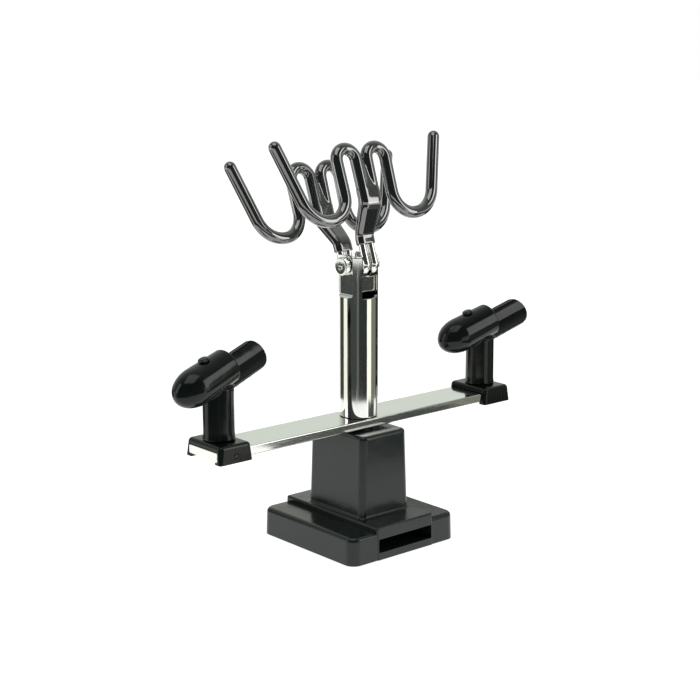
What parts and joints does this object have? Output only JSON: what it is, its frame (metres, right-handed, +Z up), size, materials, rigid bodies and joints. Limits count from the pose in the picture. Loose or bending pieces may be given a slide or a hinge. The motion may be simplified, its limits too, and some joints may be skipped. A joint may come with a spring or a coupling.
{
  "type": "bench tool holder stand",
  "caption": "Weighted bench stand with a swivelling crossbar, sliding tool holsters at its ends and a tilting rack of coated hooks on a slotted tube.",
  "frame": {"origin": "centre of the base pad's underside, on the axis of the tube", "axes": "+Z up, +X along the crossbar, -Y the side with the blind socket"},
  "size_m": [0.2641, 0.0841, 0.2298],
  "materials": {
    "base_plastic": "satin moulded black",
    "holster_plastic": "polished black",
    "hook_coating": "glossy dipped black",
    "cover_plastic": "matte black",
    "plated_steel": "bright plating",
    "hardware_steel": "zinc plated",
    "ballast_iron": "raw",
    "pad_rubber": "matte",
    "nylon": "natural"
  },
  "bodies": {
    "base": {"base_housing": "base_plastic", "bottom_cover": "cover_plastic", "cover_screw_1": "hardware_steel", "cover_screw_2": "hardware_steel", "cover_screw_3": "hardware_steel", "cover_screw_4": "hardware_steel", "base_pad": "pad_rubber", "ballast_left": "ballast_iron", "ballast_right": "ballast_iron"},
    "mast": {"crossbar": "plated_steel", "bar_washer": "hardware_steel", "bar_bolt": "hardware_steel", "bolt_washer": "hardware_steel", "post_plug": "hardware_steel", "post_tube": "plated_steel", "clamp_nut": "plated_steel", "friction_washer_left": "nylon", "friction_washer_right": "nylon"},
    "clamp_screw": {"clamp_screw": "plated_steel"},
    "hanger": {"front_hook_coat": "hook_coating", "rear_hook_coat": "hook_coating", "hanger_wire_left": "plated_steel", "hanger_wire_right": "plated_steel"},
    "slider_left": {"slider_block_left": "base_plastic", "slider_brake_left": "nylon", "pivot_screw_left": "hardware_steel"},
    "holster_left": {"holster_left": "holster_plastic", "sleeve_button_left": "base_plastic"},
    "slider_right": {"slider_block_right": "base_plastic", "slider_brake_right": "nylon", "pivot_screw_right": "hardware_steel"},
    "holster_right": {"holster_right": "holster_plastic", "sleeve_button_right": "base_plastic"}
  },
  "joints": [
    {"name": "bar_swivel", "type": "hinge", "parent": "base", "child": "mast", "pos_m": [0, 0, 0.0673], "axis": [0, 0, 1], "continuous": true},
    {"name": "clamp_screw_turn", "type": "hinge", "parent": "mast", "child": "clamp_screw", "pos_m": [0, 0, 0.1586], "axis": [1, 0, 0], "continuous": true},
    {"name": "hanger_tilt", "type": "hinge", "parent": "mast", "child": "hanger", "pos_m": [0, 0, 0.1586], "axis": [1, 0, 0], "range_deg": [-8, 45]},
    {"name": "slider_left_slide", "type": "slide", "parent": "mast", "child": "slider_left", "axis": [1, 0, 0], "range_m": [0, 0.04]},
    {"name": "slider_right_slide", "type": "slide", "parent": "mast", "child": "slider_right", "axis": [1, 0, 0], "range_m": [-0.04, 0]},
    {"name": "holster_left_swivel", "type": "hinge", "parent": "slider_left", "child": "holster_left", "pos_m": [-0.0974, 0, 0.0756], "axis": [0, 0, 1], "continuous": true},
    {"name": "holster_right_swivel", "type": "hinge", "parent": "slider_right", "child": "holster_right", "pos_m": [0.0974, 0, 0.0756], "axis": [0, 0, 1], "continuous": true}
  ]
}
